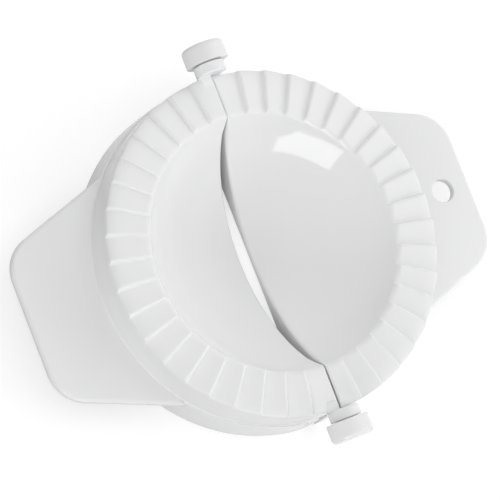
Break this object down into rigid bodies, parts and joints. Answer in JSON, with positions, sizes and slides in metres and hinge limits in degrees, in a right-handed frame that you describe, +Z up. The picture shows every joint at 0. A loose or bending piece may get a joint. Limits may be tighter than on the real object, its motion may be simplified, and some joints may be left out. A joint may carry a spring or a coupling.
{
  "type": "empanada press",
  "caption": "Hinged plastic press whose two half-bowl leaves fold together to seal and crimp a filled dough disc.",
  "frame": {"origin": "centre of the footprint on the surface that the open press stands on, under the middle of the hinge", "axes": "+X from the hinge to the base leaf's handle, +Y along the hinge, +Z up out of the bowls"},
  "size_m": [0.22, 0.1804, 0.0473],
  "materials": {
    "base_leaf_plastic": "glossy white polypropylene",
    "folding_leaf_plastic": "glossy white polypropylene",
    "knob_plastic": "glossy white polypropylene"
  },
  "bodies": {
    "base_leaf": {"base_bowl": "base_leaf_plastic", "base_crimp_rim": "base_leaf_plastic", "base_skirt": "base_leaf_plastic", "base_hinge_web": "base_leaf_plastic", "base_handle": "base_leaf_plastic", "hinge_post_front": "base_leaf_plastic", "hinge_post_rear": "base_leaf_plastic", "hinge_knob_front": "knob_plastic", "hinge_knob_rear": "knob_plastic"},
    "folding_leaf": {"folding_bowl": "folding_leaf_plastic", "folding_crimp_rim": "folding_leaf_plastic", "folding_skirt": "folding_leaf_plastic", "folding_hinge_web": "folding_leaf_plastic", "folding_handle": "folding_leaf_plastic", "hinge_eye_front": "folding_leaf_plastic", "hinge_eye_rear": "folding_leaf_plastic"}
  },
  "joints": [
    {"name": "leaf_hinge", "type": "hinge", "parent": "base_leaf", "child": "folding_leaf", "pos_m": [0, 0, 0.0379], "axis": [0, 1, 0], "range_deg": [0, 180]}
  ]
}
